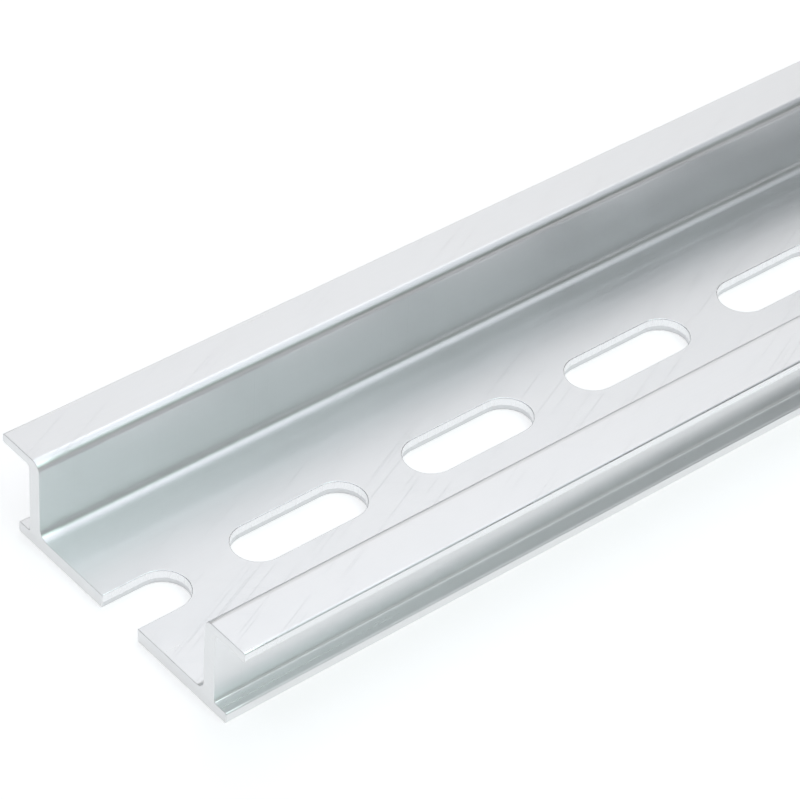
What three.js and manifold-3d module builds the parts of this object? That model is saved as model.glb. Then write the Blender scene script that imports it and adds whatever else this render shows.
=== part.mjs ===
// A perforated top-hat mounting rail, 35 mm wide, in extruded aluminium.
//
// The rail is a shallow channel that opens upwards. Its flat web is screwed to a panel through slots, its two
// walls turn outwards at the top into flanges, and modules clip over the outer edges of those flanges. Two low
// feet along the bottom of the walls widen the stance on the panel.
//
// Millimetres, +Z up. X runs along the rail, Y across it, and the origin is in the middle of the underside.

import * as THREE from "three";
import { mergeVertices } from "three/addons/utils/BufferGeometryUtils.js";
import Module from "manifold-3d";

// Driving dimensions

const railLength = 200;
const railHeight = 10;

const flangeSpan = 35; // from the outer edge of one flange to the outer edge of the other
const flangeThickness = 1;

const channelWidth = 24; // clear width between the two walls
const wallThickness = 1.5;
const webThickness = 1.5;

const footReach = 1.75; // how far a foot stands out from the wall's outer face
const footThickness = 1.2;

const webFillet = 1; // inside corner between the web and a wall
const shoulderRadius = 1; // outside corner between a wall's inner face and the flange's top
const rootRadius = 0.3; // inside corners under the flange and above the foot
const edgeRadius = 0.25; // outer edges of the flanges and the feet

const slotLength = 14.5;
const slotWidth = 5.2;
const slotPitch = 20; // the rail is sawn through the middle of a slot, so the first slot is centred on the end

const cutterOverrun = 1; // how far a slot cutter stands out of the web on each side
const sectionArcSteps = 4; // steps in each half of a section's rounded corner
const slotArcSteps = 10; // steps in each half of a slot's round end

// Section

// Carries a path up to a corner and round it, with an arc that touches both of the corner's sides.
function roundCorner(path, before, corner, after, radius) {
  const back = new THREE.Vector2().subVectors(before, corner).normalize();
  const ahead = new THREE.Vector2().subVectors(after, corner).normalize();
  const halfAngle = Math.acos(THREE.MathUtils.clamp(back.dot(ahead), -1, 1)) / 2;
  const middle = back.clone().add(ahead).normalize();
  const centre = corner.clone().addScaledVector(middle, radius / Math.sin(halfAngle));
  const start = corner.clone().addScaledVector(back, radius / Math.tan(halfAngle));
  const end = corner.clone().addScaledVector(ahead, radius / Math.tan(halfAngle));
  const startAngle = Math.atan2(start.y - centre.y, start.x - centre.x);
  const endAngle = Math.atan2(end.y - centre.y, end.x - centre.x);
  const turnsRight = back.cross(ahead) > 0;
  path.lineTo(start.x, start.y);
  path.absarc(centre.x, centre.y, radius, startAngle, endAngle, turnsRight);
}

// The corners of one half of the section, from the underside's middle outwards and up, each with its radius.
function halfSectionCorners() {
  const wallInner = channelWidth / 2;
  const wallOuter = wallInner + wallThickness;
  const footEdge = wallOuter + footReach;
  const flangeEdge = flangeSpan / 2;
  const flangeUnderside = railHeight - flangeThickness;
  return [
    { y: footEdge, z: 0, radius: edgeRadius },
    { y: footEdge, z: footThickness, radius: edgeRadius },
    { y: wallOuter, z: footThickness, radius: rootRadius },
    { y: wallOuter, z: flangeUnderside, radius: rootRadius },
    { y: flangeEdge, z: flangeUnderside, radius: edgeRadius },
    { y: flangeEdge, z: railHeight, radius: edgeRadius },
    { y: wallInner, z: railHeight, radius: shoulderRadius },
    { y: wallInner, z: webThickness, radius: webFillet },
  ];
}

// The closed outline of the whole section, drawn anticlockwise: one half, then its mirror image.
function sectionShape() {
  const half = halfSectionCorners();
  const mirrored = half.map((corner) => ({ ...corner, y: -corner.y })).reverse();
  const corners = [...half, ...mirrored];
  const points = corners.map((corner) => new THREE.Vector2(corner.y, corner.z));
  const count = corners.length;
  const shape = new THREE.Shape();
  shape.moveTo(0, 0);
  for (let i = 0; i < count; i += 1) {
    const before = points[(i + count - 1) % count];
    const after = points[(i + 1) % count];
    roundCorner(shape, before, points[i], after, corners[i].radius);
  }
  shape.lineTo(0, 0);
  return shape;
}

// The section drawn out along X, centred on the origin. The section's own x and y become Y and Z.
function extrudedSection() {
  const geometry = new THREE.ExtrudeGeometry(sectionShape(), {
    depth: railLength,
    bevelEnabled: false,
    curveSegments: sectionArcSteps,
  });
  const alongY = new THREE.Vector3(0, 1, 0);
  const alongZ = new THREE.Vector3(0, 0, 1);
  const alongX = new THREE.Vector3(1, 0, 0);
  geometry.applyMatrix4(new THREE.Matrix4().makeBasis(alongY, alongZ, alongX));
  geometry.translate(-railLength / 2, 0, 0);
  return geometry;
}

// Slots

// One slot's cutter: a bar with two half-round ends, longer along X, that passes right through the web.
function slotCutter(centreX) {
  const endRadius = slotWidth / 2;
  const endCentre = slotLength / 2 - endRadius;
  const shape = new THREE.Shape();
  shape.absarc(endCentre, 0, endRadius, -Math.PI / 2, Math.PI / 2, false);
  shape.absarc(-endCentre, 0, endRadius, Math.PI / 2, (3 * Math.PI) / 2, false);
  shape.closePath();
  const geometry = new THREE.ExtrudeGeometry(shape, {
    depth: webThickness + 2 * cutterOverrun,
    bevelEnabled: false,
    curveSegments: slotArcSteps,
  });
  geometry.translate(centreX, 0, -cutterOverrun);
  return geometry;
}

// Where the slots' centres lie: from one sawn end, a pitch apart, as far as the rail reaches.
function slotCentres() {
  const count = Math.floor(railLength / slotPitch) + 1;
  return Array.from({ length: count }, (_, i) => i * slotPitch - railLength / 2);
}

// Solids

const wasm = await Module();
wasm.setup();

// A closed geometry as a solid. Only positions are kept, so that the faces share their vertices.
function solidFrom(geometry) {
  const bare = geometry.clone();
  bare.deleteAttribute("normal");
  bare.deleteAttribute("uv");
  const merged = mergeVertices(bare, 1e-4);
  return new wasm.Manifold(
    new wasm.Mesh({
      numProp: 3,
      vertProperties: merged.attributes.position.array,
      triVerts: new Uint32Array(merged.index.array),
    }),
  );
}

// A solid as a geometry with its own flat-shaded faces.
function geometryFrom(solid) {
  const mesh = solid.getMesh();
  const indexed = new THREE.BufferGeometry();
  indexed.setAttribute("position", new THREE.BufferAttribute(mesh.vertProperties, mesh.numProp));
  indexed.setIndex(new THREE.BufferAttribute(mesh.triVerts, 1));
  const geometry = indexed.toNonIndexed();
  geometry.computeVertexNormals();
  return geometry;
}

// The rail

function buildRail() {
  let solid = solidFrom(extrudedSection());
  for (const centreX of slotCentres()) {
    solid = solid.subtract(solidFrom(slotCutter(centreX)));
  }
  const aluminium = new THREE.MeshStandardMaterial({
    color: 0xdcdde0,
    roughness: 0.38,
    metalness: 1,
  });
  const rail = new THREE.Mesh(geometryFrom(solid), aluminium);
  rail.name = "mounting_rail";
  return rail;
}

const mountingRail = new THREE.Group();
mountingRail.add(buildRail());

export default mountingRail;
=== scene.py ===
# %% [markdown]
# # A perforated mounting rail, modelled the way it is made
#
# A mounting rail is the metal strip in a control cabinet that modules clip onto. Its flat web is screwed to the
# cabinet's back plate, and its two flanges turn outwards so that a module can hook over both of them. This one is
# extruded in aluminium, punched with slots, clear anodised and sawn to length.
#
# The model follows the same order: draw the section, push it out along the rail, punch the slots, saw the ends and
# take the burr off. Then come the three finishes that those steps leave on the metal.

import math

import bmesh
import bpy
from mathutils import Matrix, Vector


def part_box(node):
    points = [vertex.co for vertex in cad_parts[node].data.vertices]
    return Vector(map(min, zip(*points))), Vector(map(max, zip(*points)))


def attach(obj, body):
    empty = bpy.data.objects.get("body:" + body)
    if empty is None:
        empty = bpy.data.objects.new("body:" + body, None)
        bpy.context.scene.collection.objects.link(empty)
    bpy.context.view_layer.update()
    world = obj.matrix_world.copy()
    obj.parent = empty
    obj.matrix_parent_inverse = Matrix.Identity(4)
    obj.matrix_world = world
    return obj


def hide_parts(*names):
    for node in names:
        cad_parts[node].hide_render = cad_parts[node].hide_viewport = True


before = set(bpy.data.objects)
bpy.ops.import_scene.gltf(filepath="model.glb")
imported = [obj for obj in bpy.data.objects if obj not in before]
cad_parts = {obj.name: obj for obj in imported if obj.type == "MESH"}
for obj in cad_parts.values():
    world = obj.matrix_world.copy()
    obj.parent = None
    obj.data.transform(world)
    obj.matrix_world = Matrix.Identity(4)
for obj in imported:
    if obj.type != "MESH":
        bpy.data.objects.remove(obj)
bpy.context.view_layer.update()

# %% [markdown]
# ## Sizes
#
# The length, the width over the flanges and the height come from the frame, so the rail can't drift away from the
# part that it stands for. The thin sizes of the section can't be read off a box, so they are stated here, once.
# X runs along the rail, Y across it and Z up, out of the panel.

# %% Sizes of the rail
MM = 0.001

rail_low, rail_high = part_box("mounting_rail")
rail_length = rail_high.x - rail_low.x
flange_span = rail_high.y - rail_low.y
rail_height = rail_high.z - rail_low.z
rail_end = rail_length / 2

channel_width = 24 * MM
wall_thickness = 1.5 * MM
web_thickness = 1.5 * MM
flange_thickness = 1 * MM
foot_reach = 1.75 * MM
foot_thickness = 1.2 * MM

web_fillet = 1 * MM
shoulder_radius = 1 * MM
root_radius = 0.3 * MM
edge_radius = 0.25 * MM

slot_length = 14.5 * MM
slot_width = 5.2 * MM
slot_pitch = 20 * MM
slot_radius = slot_width / 2
slot_end_centre = slot_length / 2 - slot_radius
slot_count = round(rail_length / slot_pitch) + 1

# The punched strip is the part of the web that the slots are set out in. It is as wide as makes each slot's round end
# sit squarely in its corner of the strip.
strip_half_width = slot_pitch / 2 - slot_end_centre
print("rail", round(rail_length / MM), "mm long,", slot_count, "slots with the two that the saw cut in half")

# %% [markdown]
# ## The section
#
# An extrusion is a flat outline pushed through space, so the outline carries nearly all of the shape. It is drawn for
# one side only, as a list of corners with the radius of each, and the other side is its mirror image. A helper rounds
# every corner with a true arc. The long flats between the corners need no points at all.

# %% Draw half of the section
ARC_STEPS = 8


def rounded_corner(before, corner, after, radius):
    """The points of the arc that touches both sides of a corner, from the side before it to the side after it."""
    back = (before - corner).normalized()
    ahead = (after - corner).normalized()
    half_angle = back.angle(ahead) / 2
    centre = corner + (back + ahead).normalized() * (radius / math.sin(half_angle))
    start = (corner + back * (radius / math.tan(half_angle)) - centre).normalized()
    end = (corner + ahead * (radius / math.tan(half_angle)) - centre).normalized()
    return [centre + start.slerp(end, step / ARC_STEPS) * radius for step in range(ARC_STEPS + 1)]


def half_section():
    """The section's outline on the +Y side, from the web's underside, out round the flange and back to its top."""
    wall_inner = channel_width / 2
    wall_outer = wall_inner + wall_thickness
    foot_edge = wall_outer + foot_reach
    flange_edge = flange_span / 2
    flange_underside = rail_height - flange_thickness
    corners = [
        (foot_edge, 0, edge_radius),
        (foot_edge, foot_thickness, edge_radius),
        (wall_outer, foot_thickness, root_radius),
        (wall_outer, flange_underside, root_radius),
        (flange_edge, flange_underside, edge_radius),
        (flange_edge, rail_height, edge_radius),
        (wall_inner, rail_height, shoulder_radius),
        (wall_inner, web_thickness, web_fillet),
    ]
    start = Vector((strip_half_width, 0))
    end = Vector((strip_half_width, web_thickness))
    sharp = [start] + [Vector((y, z)) for y, z, _ in corners] + [end]
    outline = [start]
    for i, (_, _, radius) in enumerate(corners):
        outline += rounded_corner(sharp[i], sharp[i + 1], sharp[i + 2], radius)
    return outline + [end]


section_side = half_section()
print("half a section has", len(section_side), "points")

# %% [markdown]
# ## The punched slots
#
# A slot is two half circles joined by two straight lines. A boolean cut would do, but it leaves long thin faces round
# the hole, and they catch the light badly on metal. Instead each slot is laid out as rays that start on its centre
# line and stop at the edge of its own rectangle of web. Every ray carries the same profile from the top of the web to
# the underside, and neighbouring rays are joined by a ladder of quads.
#
# The profile is the one that a press tool leaves. The punch drags the metal down and rounds the upper rim, then
# shears a smooth land, and the last part breaks away at a slight angle and leaves a crisp lower rim.

# %% Lay out one slot
ROUND_END_STEPS = 16
STRAIGHT_STEPS = 4
RIM_STEPS = 4

rim_radius = 0.08 * MM
land_depth = 0.85 * MM
break_slope = 0.05 * MM
lower_rim = 0.06 * MM


def slot_rays():
    """Each ray's start on the slot's centre line and its direction, anticlockwise round the slot."""
    rays = []
    for side in (1, -1):
        first_angle = -math.pi / 2 if side > 0 else math.pi / 2
        for step in range(ROUND_END_STEPS + 1):
            angle = first_angle + math.pi * step / ROUND_END_STEPS
            rays.append((side * slot_end_centre, math.cos(angle), math.sin(angle)))
        for step in range(1, STRAIGHT_STEPS):
            start = side * slot_end_centre * (1 - 2 * step / STRAIGHT_STEPS)
            rays.append((start, 0.0, float(side)))
    return rays


def punched_profile():
    """How far the hole's wall stands back from the punch, and at what height, from the upper rim to the lower."""
    profile = []
    for step in range(RIM_STEPS + 1):
        angle = math.pi / 2 * step / RIM_STEPS
        set_back = rim_radius * (1 - math.sin(angle))
        profile.append((set_back, web_thickness - rim_radius * (1 - math.cos(angle))))
    profile.append((0.0, web_thickness - land_depth))
    profile.append((break_slope, lower_rim))
    profile.append((break_slope + lower_rim, 0.0))
    return profile


print(len(slot_rays()), "rays round a slot,", len(punched_profile()), "points down its wall")

# %% [markdown]
# ## One shell from many quads
#
# The walls, flanges and feet are swept along X from station to station. The stations are the places where the slots'
# rays meet the edge of the punched strip, so the swept sides and the strip share their points and can be welded. The
# first and last slot sit right on the saw cut, so only half of their rays are used.

# %% Sweep the sides and punch the web
EXTRUDED, PUNCHED, SAWN = range(3)
SAME_DIRECTION = 1e-6
STATION_DECIMALS = 8

saw_edge = 0.06 * MM
weld_distance = 0.0005 * MM
shell = bmesh.new()


def slot_centres():
    """Where the slots lie along the rail. The first and the last are centred on the sawn ends."""
    return [i * slot_pitch - rail_end for i in range(slot_count)]


def ray_is_kept(centre, ray):
    """True where a ray of the slot at that centre lies on the rail and not beyond its end."""
    return abs(centre + ray[0]) < rail_end + saw_edge / 2


def strip_edge(ray):
    """How far along a ray the edge of its rectangle of web lies."""
    return strip_half_width / max(abs(ray[1]), abs(ray[2]))


def on_rail(x):
    """An X position, brought in to where the sawn edge's rounding starts."""
    return max(-rail_end + saw_edge, min(rail_end - saw_edge, x))


def add_point(x, y, z):
    return shell.verts.new((on_rail(x), y, z))


def stations():
    """The X positions where the rays meet the +Y edge of the punched strip, in order."""
    found = set()
    for centre in slot_centres():
        for ray in slot_rays():
            start, along, across = ray
            if across >= abs(along) - SAME_DIRECTION and ray_is_kept(centre, ray):
                found.add(round(on_rail(centre + start + along * strip_edge(ray)), STATION_DECIMALS))
    return sorted(found)


def sweep_side(side):
    """Draws one half of the section out from end to end. side is 1 for +Y and -1 for -Y."""
    rows = [[add_point(x, side * p.x, p.y) for p in section_side] for x in stations()]
    for near, far in zip(rows, rows[1:]):
        for i in range(len(section_side) - 1):
            shell.faces.new((near[i], far[i], far[i + 1], near[i + 1]))


def ray_column(centre, ray):
    """One ray's points, from the edge of its web rectangle on top, down through the hole, to the underside's edge."""
    start, along, across = ray
    reaches = [(strip_edge(ray), web_thickness)]
    reaches += [(slot_radius + set_back, height) for set_back, height in punched_profile()]
    reaches += [(strip_edge(ray), 0.0)]
    return [add_point(centre + start + along * reach, across * reach, height) for reach, height in reaches]


def punch_slot(centre):
    """Adds the rectangle of web round one slot, with the hole in it."""
    rays = slot_rays()
    columns = [ray_column(centre, ray) if ray_is_kept(centre, ray) else None for ray in rays]
    for near, far in zip(columns, columns[1:] + columns[:1]):
        if not near or not far:
            continue
        for i in range(len(near) - 1):
            face = shell.faces.new((near[i], near[i + 1], far[i + 1], far[i]))
            is_hole = 0 < i < len(near) - 2
            face.material_index = PUNCHED if is_hole else EXTRUDED


for side in (1, -1):
    sweep_side(side)
for centre in slot_centres():
    punch_slot(centre)
bmesh.ops.remove_doubles(shell, verts=shell.verts, dist=weld_distance)
print("swept and punched shell:", len(shell.faces), "faces,", len(stations()), "stations")

# %% [markdown]
# ## The sawn ends
#
# So far the shell is open at both ends, with two outlines at each: one on each side of the half slot. A saw leaves a
# flat face there, and a quick pass with a deburring tool takes the sharpness off its edge. The edge is a quarter round
# less than a tenth of a millimetre across, made by stepping the outline inwards as it moves out to the cut.

# %% Close the sawn ends
SAW_EDGE_STEPS = 3


def trace_outline(open_edges):
    """Takes one closed loop of points out of a set of open edges."""
    edge = open_edges.pop()
    outline = list(edge.verts)
    while outline[-1] is not outline[0]:
        edge = next(e for e in outline[-1].link_edges if e in open_edges)
        open_edges.remove(edge)
        outline.append(edge.other_vert(outline[-1]))
    return outline[:-1]


def inward_steps(outline):
    """For each point of an outline in the YZ plane, the vector that moves both of its edges in by one."""
    points = [vert.co.yz for vert in outline]
    count = len(points)
    area = sum(points[i - 1].cross(points[i]) for i in range(count)) / 2
    steps = []
    for i in range(count):
        before = (points[i] - points[i - 1]).normalized()
        after = (points[(i + 1) % count] - points[i]).normalized()
        left = Vector((-before.y, before.x)) + Vector((-after.y, after.x))
        steps.append(left * math.copysign(1 / (1 + before.dot(after)), area))
    return steps


def saw_end(end):
    """Rounds over and closes the open outlines at one end. end is 1 for +X and -1 for -X."""
    open_edges = {e for e in shell.edges if e.is_boundary and e.verts[0].co.x * end > 0}
    closed = 0
    while open_edges:
        ring = trace_outline(open_edges)
        start = [vert.co.copy() for vert in ring]
        inward = inward_steps(ring)
        for step in range(1, SAW_EDGE_STEPS + 1):
            angle = math.pi / 2 * step / SAW_EDGE_STEPS
            inset = saw_edge * (1 - math.cos(angle))
            x = end * (rail_end - saw_edge * (1 - math.sin(angle)))
            moved = [shell.verts.new((x, p.y + s.x * inset, p.z + s.y * inset)) for p, s in zip(start, inward)]
            for i in range(len(ring)):
                face = shell.faces.new((ring[i - 1], ring[i], moved[i], moved[i - 1]))
                face.material_index = SAWN
            ring = moved
        cap = shell.faces.new(ring)
        cap.material_index = SAWN
        cap.normal_update()
        bmesh.ops.triangulate(shell, faces=[cap])
        closed += 1
    return closed


print("outlines closed:", saw_end(-1), "and", saw_end(1))
bmesh.ops.recalc_face_normals(shell, faces=shell.faces)
print("edges left open:", sum(1 for edge in shell.edges if not edge.is_manifold))

# %% [markdown]
# ## Shading without flat spots
#
# Every face is shaded smooth, because every real edge already has its own small round. Left alone, Blender would
# average the normals where a flat meets a round and tilt the whole flat a little. A Weighted Normal modifier gives the
# larger face the say, so flats stay flat and only the rounds turn.

# %% Turn the shell into the rail
FACE_AREA_WEIGHT = 100


def place_in_scene(name, data):
    """A new object with the given mesh, camera or lamp, in the scene."""
    placed = bpy.data.objects.new(name, data)
    bpy.context.scene.collection.objects.link(placed)
    return placed


def mesh_of(working_mesh, name):
    """A new object from a bmesh, shaded smooth, with its normals weighted by face area and applied."""
    for face in working_mesh.faces:
        face.smooth = True
    mesh = bpy.data.meshes.new(name)
    working_mesh.to_mesh(mesh)
    working_mesh.free()
    made = place_in_scene(name, mesh)
    weighted = made.modifiers.new("weighted_normals", "WEIGHTED_NORMAL")
    weighted.mode = "FACE_AREA"
    weighted.weight = FACE_AREA_WEIGHT
    depsgraph = bpy.context.evaluated_depsgraph_get()
    applied = bpy.data.meshes.new_from_object(
        made.evaluated_get(depsgraph), preserve_all_data_layers=True, depsgraph=depsgraph
    )
    made.modifiers.clear()
    made.data = applied
    bpy.data.meshes.remove(mesh)
    applied.name = name
    return made


rail = mesh_of(shell, "slotted_rail")
print("rail mesh:", len(rail.data.vertices), "points,", len(rail.data.polygons), "faces")

# %% [markdown]
# ## Writing materials as sums
#
# A metal finish is mostly arithmetic on noise: a little of this added to the roughness, a little of that taken off
# the colour. Wrapping a socket in a small class lets that arithmetic be written as it would be on paper. Each
# operator adds one Math node, and one method makes any other kind of node.

# %% A socket that can be added and multiplied
class Wire:
    """An output socket of a material's nodes. Arithmetic on it adds Math nodes to the same material."""

    def __init__(self, tree, socket=None):
        self.tree = tree
        self.socket = socket

    def node(self, kind, settings=None, inputs=None, output=0):
        """Adds a node, applies its settings, then fills its sockets with numbers, vectors or wires."""
        made = self.tree.nodes.new(kind)
        for name, setting in (settings or {}).items():
            setattr(made, name, setting)
        for name, value in (inputs or {}).items():
            if isinstance(value, Wire):
                self.tree.links.new(value.socket, made.inputs[name])
            else:
                made.inputs[name].default_value = value
        return Wire(self.tree, made.outputs[output])

    def math(self, operation, first, second):
        return self.node("ShaderNodeMath", {"operation": operation}, {0: first, 1: second})

    def __add__(self, other):
        return self.math("ADD", self, other)

    def __sub__(self, other):
        return self.math("SUBTRACT", self, other)

    def __rsub__(self, other):
        return self.math("SUBTRACT", other, self)

    def __mul__(self, other):
        return self.math("MULTIPLY", self, other)

    __radd__ = __add__
    __rmul__ = __mul__


# %% [markdown]
# ## Noise with a direction
#
# All three finishes come from tools that move in one direction: the die drags lines along the rail, the punch scores
# the slots from top to bottom, and the saw leaves arcs across the ends. So each uses noise that is stretched along
# the tool's path. The stretch is given as the size of a mark in millimetres along X, Y and Z.

# %% Helpers for the finishes
COLOUR_A, COLOUR_B, COLOUR_RESULT = 6, 7, 2


def place(wire):
    """The point being shaded, in metres, in the rail's own frame."""
    return wire.node("ShaderNodeTexCoord", output="Object")


def along_axis(wire, axis, point=None):
    """One coordinate of a point, which is the point being shaded if no other is given."""
    point = point or place(wire)
    return wire.node("ShaderNodeSeparateXYZ", inputs={"Vector": point}, output=axis)


def marks(wire, size_mm, detail=2.0, shift=0.0, turn=0.0):
    """Noise between 0 and 1, with marks of the given size along X, Y and Z. turn swings them round Z, in degrees."""
    mapped = wire.node(
        "ShaderNodeMapping",
        {"vector_type": "TEXTURE"},
        {
            "Vector": place(wire),
            "Location": (shift, shift, shift),
            "Rotation": (0, 0, math.radians(turn)),
            "Scale": tuple(size * MM for size in size_mm),
        },
    )
    return wire.node("ShaderNodeTexNoise", inputs={"Vector": mapped, "Scale": 1.0, "Detail": detail})


def fade(wire, value, start, end):
    """0 where a value is at start or short of it, 1 at end or past it, and smooth in between."""
    return wire.node(
        "ShaderNodeMapRange",
        {"interpolation_type": "SMOOTHSTEP"},
        {"Value": value, "From Min": start, "From Max": end},
    )


def between_colours(wire, factor, first, second):
    """A colour between two colours."""
    return wire.node(
        "ShaderNodeMix",
        {"data_type": "RGBA"},
        {0: factor, COLOUR_A: (*first, 1.0), COLOUR_B: (*second, 1.0)},
        COLOUR_RESULT,
    )


def metal(name, build):
    """A new metallic material. build gets a wire and returns its colour, roughness and relief, in that order.

    The relief is a height between 0 and about 1, and the depth that it stands for, in metres.
    """
    made = bpy.data.materials.new(name)
    made.use_nodes = True
    shader = made.node_tree.nodes["Principled BSDF"]
    shader.inputs["Metallic"].default_value = 1.0
    wire = Wire(made.node_tree)
    colour, roughness, height, depth = build(wire)
    bump = wire.node("ShaderNodeBump", inputs={"Height": height, "Distance": depth})
    for socket, source in (("Base Color", colour), ("Roughness", roughness), ("Normal", bump)):
        made.node_tree.links.new(source.socket, shader.inputs[socket])
    return made


# %% [markdown]
# ## The extruded face
#
# The die leaves hair lines that run the whole length, over broader bands where the metal flowed a little faster.
# Etching before the anodising turns the shine to satin and adds a grain too fine to see, except as softness. In use,
# the outer edges of the flanges are rubbed bright by the modules' hooks, and the rail picks up a few light scratches
# from being handled. The lighter colour of the rubbed patches is also a painted highlight along the flanges' outer top
# edges. Each of these is one term in the sums below.

# %% The extruded finish
SATIN_ROUGHNESS = 0.34
PALE_SILVER = (0.845, 0.847, 0.856)
GREY_SILVER = (0.795, 0.799, 0.809)
EXTRUDED_RELIEF = 0.006 * MM

# The size of one mark along X, Y and Z, in millimetres.
DIE_LINE = (60, 0.14, 0.14)
FLOW_BAND = (220, 1.1, 1.1)
CLOUD = (10, 5, 5)
ETCHED_GRAIN = (0.16, 0.16, 0.16)
SCRATCH = (14, 0.07, 14)
RUBBED_HIGHLIGHT_PATCH = (11, 1.2, 4)

# Noise above the first value starts a scratch or a rubbed patch with its painted highlight, and above the second it is
# in full.
SCRATCH_FADE = (0.76, 0.82)
RUBBED_HIGHLIGHT_FADE = (0.38, 0.62)
SCRATCH_TURNS = (24, -37)


def scratches(wire, turn, shift):
    """Sparse thin scratches across the die lines, as a mask."""
    lines = marks(wire, SCRATCH, detail=0.0, shift=shift, turn=turn)
    return fade(wire, lines, *SCRATCH_FADE)


def rubbed_edges_and_painted_highlight(wire):
    """Where hooks slide over the outer edges of the flanges, as a mask that comes and goes along the rail. The colour
    lightened under it is rubbed metal and also a painted highlight.
    """
    flange_edge = flange_span / 2
    flange_underside = rail_height - flange_thickness
    off_middle = wire.math("ABSOLUTE", along_axis(wire, "Y"), 0.0)
    at_edge = fade(wire, off_middle, flange_edge - 0.7 * MM, flange_edge - 0.05 * MM)
    on_flange = fade(wire, along_axis(wire, "Z"), flange_underside - 0.1 * MM, flange_underside)
    patches = fade(wire, marks(wire, RUBBED_HIGHLIGHT_PATCH, shift=0.31), *RUBBED_HIGHLIGHT_FADE)
    return at_edge * on_flange * patches


def extruded_finish(wire):
    """Streaks, clouds and rubbed patches in the colour and the roughness, and lines, grain and scratches in relief.
    The rubbed patches' lighter colour is also a painted highlight.
    """
    die_lines = marks(wire, DIE_LINE, detail=3.0)
    bands = marks(wire, FLOW_BAND, shift=0.17)
    clouds = marks(wire, CLOUD, shift=0.29)
    etch = marks(wire, ETCHED_GRAIN, detail=1.0, shift=0.41)
    scratched = scratches(wire, SCRATCH_TURNS[0], 0.05) + scratches(wire, SCRATCH_TURNS[1], 0.11)
    rubbed_and_highlight = rubbed_edges_and_painted_highlight(wire)
    streaks = die_lines * 0.6 + bands * 0.4
    # The rubbed patches lighten the colour: rubbed metal, and also a painted highlight on the flanges' outer top
    # edges.
    colour = between_colours(wire, streaks + clouds * 0.4 - 0.2 + rubbed_and_highlight * 0.3, GREY_SILVER, PALE_SILVER)
    roughness = SATIN_ROUGHNESS + 0.16 * (die_lines - 0.5) + 0.12 * (bands - 0.5) + 0.10 * (clouds - 0.5)
    roughness = roughness + 0.05 * (etch - 0.5) + 0.10 * scratched - 0.08 * rubbed_and_highlight
    height = die_lines * 0.5 + bands * 0.3 + etch * 0.2 - scratched * 0.6
    return colour, roughness, height, EXTRUDED_RELIEF


extruded = metal("satin_extrusion", extruded_finish)
print("extruded finish:", len(extruded.node_tree.nodes), "nodes")

# %% [markdown]
# ## The punched walls
#
# A punched hole has two zones. The upper part is sheared and rubbed by the punch as it passes, so it is smooth, with
# fine vertical score lines. The lower part breaks away and is matte and crystalline. The change follows an uneven
# line, because metal doesn't tear at one exact depth.

# %% The punched finish
SHEARED_SILVER = (0.84, 0.84, 0.85)
TORN_GREY = (0.74, 0.745, 0.755)
SHEARED_ROUGHNESS = 0.26
TORN_EXTRA_ROUGHNESS = 0.28
PUNCHED_RELIEF = 0.012 * MM

SCORE = (0.12, 0.12, 4)
CRYSTAL = (0.10, 0.10, 0.10)
BREAK_WAVE = (1.3, 1.3, 1.3)
break_wander = 0.25 * MM
break_softness = 0.04 * MM


def punched_finish(wire):
    """Score lines down to the line where the metal broke away, and crystals below it."""
    scores = marks(wire, SCORE)
    crystals = marks(wire, CRYSTAL, detail=3.0, shift=0.07)
    unevenness = marks(wire, BREAK_WAVE, shift=0.19)
    break_line = web_thickness - land_depth + break_wander * (unevenness - 0.5)
    torn = 1 - fade(wire, along_axis(wire, "Z") - break_line, -break_softness, break_softness)
    colour = between_colours(wire, torn + 0.3 * (scores - 0.5), SHEARED_SILVER, TORN_GREY)
    roughness = SHEARED_ROUGHNESS + 0.16 * (scores - 0.5)
    roughness = roughness + torn * (TORN_EXTRA_ROUGHNESS + 0.2 * (crystals - 0.5))
    relief = scores * (1 - torn) * 0.4 + crystals * torn
    return colour, roughness, relief, PUNCHED_RELIEF


punched = metal("punched_wall", punched_finish)
print("punched finish:", len(punched.node_tree.nodes), "nodes")

# %% [markdown]
# ## The sawn ends
#
# A circular saw leaves shallow arcs, centred far outside the cut, because its teeth travel round a blade that is much
# bigger than the rail. Noise in one dimension, fed with the distance from the blade's centre, draws exactly that. The
# cut is bare metal, brighter than the anodised skin round it and rougher to the touch.

# %% The sawn finish
SAWN_GREY = (0.74, 0.745, 0.75)
SAWN_SILVER = (0.84, 0.84, 0.845)
SAWN_ROUGHNESS = 0.46
SAWN_RELIEF = 0.02 * MM

BLADE_CENTRE = (0.0, -70 * MM, 115 * MM)
TOOTH_PITCH = 0.22 * MM
SMEAR = (2, 1.5, 1.5)


def sawn_finish(wire):
    """Arcs round the blade's centre, over smears where the metal dragged."""
    flat_place = wire.node("ShaderNodeVectorMath", {"operation": "MULTIPLY"}, {0: place(wire), 1: (0, 1, 1)})
    from_blade = wire.node(
        "ShaderNodeVectorMath", {"operation": "DISTANCE"}, {0: flat_place, 1: BLADE_CENTRE}, output="Value"
    )
    arcs = wire.node(
        "ShaderNodeTexNoise",
        {"noise_dimensions": "1D"},
        {"W": from_blade * (1 / TOOTH_PITCH), "Scale": 1.0, "Detail": 3.0},
    )
    smears = marks(wire, SMEAR, shift=0.23)
    colour = between_colours(wire, arcs * 0.7 + smears * 0.3, SAWN_GREY, SAWN_SILVER)
    roughness = SAWN_ROUGHNESS + 0.22 * (arcs - 0.5) + 0.14 * (smears - 0.5)
    return colour, roughness, arcs, SAWN_RELIEF


sawn = metal("sawn_end", sawn_finish)
for finish in (extruded, punched, sawn):
    rail.data.materials.append(finish)
print("sawn finish:", len(sawn.node_tree.nodes), "nodes")

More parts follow.
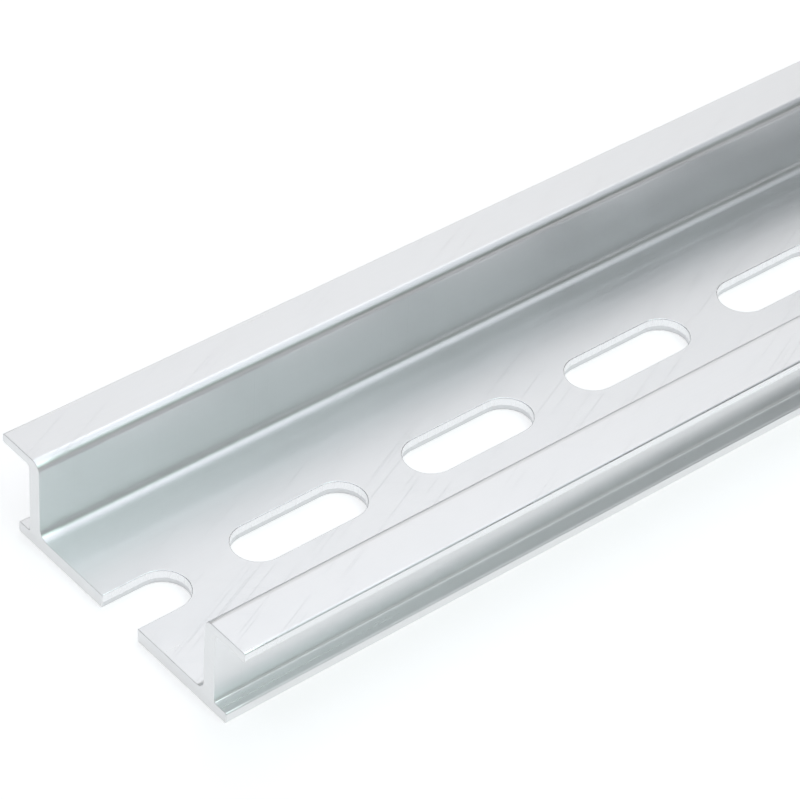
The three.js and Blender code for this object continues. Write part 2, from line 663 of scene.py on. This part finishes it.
# %% [markdown]
# ## Hand the rail to the frame
#
# The rail is one length of metal and nothing on it moves, so the one piece rides on the one body. It stands for the
# plain solid of the frame, which then isn't shown.

# %% Place the rail in the frame
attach(rail, "root")
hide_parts("mounting_rail")

# %% [markdown]
# ## A light table
#
# Satin metal has hardly any colour of its own, so what surrounds it is most of what is seen. The rail lies on a wide
# matte white table with a soft glow of its own. The glow takes away the shadow under the flange, and it lights the
# outer walls and the ends from below.

# %% The floor
FLOOR_GAP = 0.03 * MM
FLOOR_HALF = 9.0
TABLE_GLOW = 0.53
TABLE_WHITE = (0.70, 0.70, 0.70)
TABLE_PALER = (0.73, 0.73, 0.73)
TABLE_PATCH = (40, 40, 40)
MATTE_ROUGHNESS = 0.9
FAINT_SHINE = 0.1

floor_mesh = bpy.data.meshes.new("floor")
corner_signs = [(-1, -1), (1, -1), (1, 1), (-1, 1)]
floor_corners = [(x * FLOOR_HALF, y * FLOOR_HALF, -FLOOR_GAP) for x, y in corner_signs]
floor_mesh.from_pydata(floor_corners, [], [(0, 1, 2, 3)])
floor = place_in_scene("floor", floor_mesh)
matte_white = bpy.data.materials.new("matte_white")
matte_white.use_nodes = True
paper = matte_white.node_tree.nodes["Principled BSDF"]
paper.inputs["Roughness"].default_value = MATTE_ROUGHNESS
paper.inputs["Specular IOR Level"].default_value = FAINT_SHINE
paper.inputs["Emission Color"].default_value = (1, 1, 1, 1)
paper.inputs["Emission Strength"].default_value = TABLE_GLOW
wire = Wire(matte_white.node_tree)
tone = between_colours(wire, marks(wire, TABLE_PATCH), TABLE_WHITE, TABLE_PALER)
matte_white.node_tree.links.new(tone.socket, paper.inputs["Base Color"])
floor_mesh.materials.append(matte_white)
print("floor", FLOOR_HALF * 2, "m wide")

# %% [markdown]
# ## The camera
#
# A long lens from a little over one end, looking down along the rail. With little perspective the two flanges stay
# nearly parallel, which is how such parts are shown in a catalogue. The camera is placed by its direction from the
# rail's end, its distance, and how far the end lies off the middle of the view.

# %% Set the camera
CAMERA_AZIMUTH = -41.9646
CAMERA_ELEVATION = 40.0835
CAMERA_ROLL = math.radians(3.7001)
CAMERA_DISTANCE = 322.526 * MM
END_OFF_CENTRE = (-24.5189 * MM, -19.6560 * MM)
SENSOR_WIDTH = 36
FOCAL_LENGTH = 165.9333
NEAREST_SEEN = 10 * MM
FARTHEST_SEEN = 20


def direction_to(azimuth, elevation):
    """The unit vector that points away from the rail, from degrees round from the front and degrees up."""
    turn, rise = math.radians(azimuth), math.radians(elevation)
    return Vector((math.sin(turn) * math.cos(rise), -math.cos(turn) * math.cos(rise), math.sin(rise)))


toward_camera = direction_to(CAMERA_AZIMUTH, CAMERA_ELEVATION)
level_right = Vector((0, 0, 1)).cross(toward_camera).normalized()
level_up = toward_camera.cross(level_right)
camera_right = math.cos(CAMERA_ROLL) * level_right + math.sin(CAMERA_ROLL) * level_up
camera_up = math.cos(CAMERA_ROLL) * level_up - math.sin(CAMERA_ROLL) * level_right
near_end = Vector((-rail_end, 0, 0))

camera_data = bpy.data.cameras.new("camera")
camera_data.sensor_width = SENSOR_WIDTH
camera_data.lens = FOCAL_LENGTH
camera_data.clip_start = NEAREST_SEEN
camera_data.clip_end = FARTHEST_SEEN
camera = place_in_scene("camera", camera_data)
turned = Matrix((camera_right, camera_up, toward_camera)).transposed().to_4x4()
off_centre = camera_right * END_OFF_CENTRE[0] + camera_up * END_OFF_CENTRE[1]
camera.matrix_world = Matrix.Translation(near_end + toward_camera * CAMERA_DISTANCE - off_centre) @ turned
bpy.context.scene.camera = camera
print("camera at", [round(value, 4) for value in camera.location])

# %% [markdown]
# ## Soft light
#
# Each light is a large softbox some way off, placed by the direction that it shines from. The rail mirrors them
# softly: the flat faces that look up show the box behind and to the right, and the far wall and the web beside it
# show the front, where there is little light. That contrast is what makes the channel look deep.

# %% Set the lights
LIGHT_AIM = Vector((-0.05, 0, 0))

# Name, azimuth and elevation in degrees, distance, width and height in metres, power in watts, colour.
SOFTBOXES = [
    ("overhead", 0, 88, 1.2, 1.7, 1.7, 11.0, (0.89, 0.94, 1.00)),
    ("back_right", 140, 34, 1.2, 0.9, 1.0, 2.25, (1, 1, 1)),
    ("front", 8, 45, 1.2, 0.7, 0.7, 2.05, (0.78, 1.00, 0.92)),
]


def softbox(name, azimuth, elevation, distance, width, height, power, colour):
    """A rectangular lamp that faces the rail and that the camera doesn't see."""
    data = bpy.data.lights.new(name, "AREA")
    data.shape = "RECTANGLE"
    data.size = width
    data.size_y = height
    data.energy = power
    data.color = colour
    lamp = place_in_scene(name, data)
    toward_lamp = direction_to(azimuth, elevation)
    lamp.location = LIGHT_AIM + toward_lamp * distance
    lamp.rotation_mode = "QUATERNION"
    lamp.rotation_quaternion = toward_lamp.to_track_quat("Z", "Y")
    lamp.visible_camera = False
    return lamp


softboxes = [softbox(*row) for row in SOFTBOXES]
print(len(softboxes), "softboxes")

# %% [markdown]
# ## The rest of the room
#
# The world stands for the rest of the room: pale walls low down, which fade into a dim ceiling. White all round
# would leave the metal without any shading. The Standard view keeps white as white, where a filmic one would turn it
# grey.

# %% Set the world
WALL_TONE = (0.85, 0.85, 0.85)
CEILING_TONE = (0.12, 0.12, 0.12)
WALL_FADE = (0.10, 0.26)  # heights of a direction, from 0 at the horizon to 1 overhead

room = bpy.data.worlds.new("pale_room")
room.use_nodes = True
wire = Wire(room.node_tree)
direction = wire.node("ShaderNodeTexCoord", output="Generated")
upwards = fade(wire, along_axis(wire, "Z", direction), *WALL_FADE)
tone = between_colours(wire, upwards, WALL_TONE, CEILING_TONE)
background = room.node_tree.nodes["Background"]
room.node_tree.links.new(tone.socket, background.inputs["Color"])
background.inputs["Strength"].default_value = 1.0
bpy.context.scene.world = room
bpy.context.scene.view_settings.view_transform = "Standard"
print("world", room.name, "with", len(room.node_tree.nodes), "nodes")
